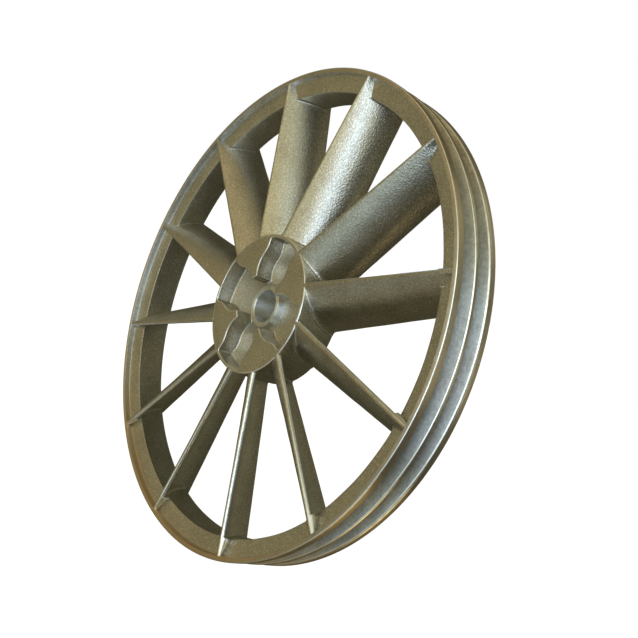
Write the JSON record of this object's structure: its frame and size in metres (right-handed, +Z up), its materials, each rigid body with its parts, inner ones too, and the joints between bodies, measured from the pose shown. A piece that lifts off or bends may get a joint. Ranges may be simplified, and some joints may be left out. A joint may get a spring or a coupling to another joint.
{
  "type": "v belt pulley",
  "caption": "One-piece cast aluminium V-belt pulley with belt grooves round its rim, curved fan blades for spokes and a bored hub with open pockets.",
  "frame": {"origin": "on the axis of the shaft bore, halfway across the width of the rim", "axes": "+Y along the bore towards the back of the wheel, so the hub face with the pockets looks along -Y; +Z is up, through the middle of one pocket; +X is to the right when the front is seen"},
  "size_m": [0.38, 0.039, 0.38],
  "materials": {
    "cast_aluminium": "as cast, shot blasted, fine grain",
    "turned_aluminium": "turned, with fine rings from the tool"
  },
  "bodies": {
    "root": {"rim_band": "cast_aluminium", "hub_barrel": "cast_aluminium", "hub_web": "cast_aluminium", "hub_land_1": "cast_aluminium", "hub_land_2": "cast_aluminium", "hub_land_3": "cast_aluminium", "hub_land_4": "cast_aluminium", "blade_01": "cast_aluminium", "blade_02": "cast_aluminium", "blade_03": "cast_aluminium", "blade_04": "cast_aluminium", "blade_05": "cast_aluminium", "blade_06": "cast_aluminium", "blade_07": "cast_aluminium", "blade_08": "cast_aluminium", "blade_09": "cast_aluminium", "blade_10": "cast_aluminium", "blade_11": "cast_aluminium", "blade_12": "cast_aluminium", "front_flange": "turned_aluminium", "centre_rib": "turned_aluminium", "rear_flange": "turned_aluminium", "rear_boss": "turned_aluminium", "bore_sleeve": "turned_aluminium"}
  },
  "joints": []
}
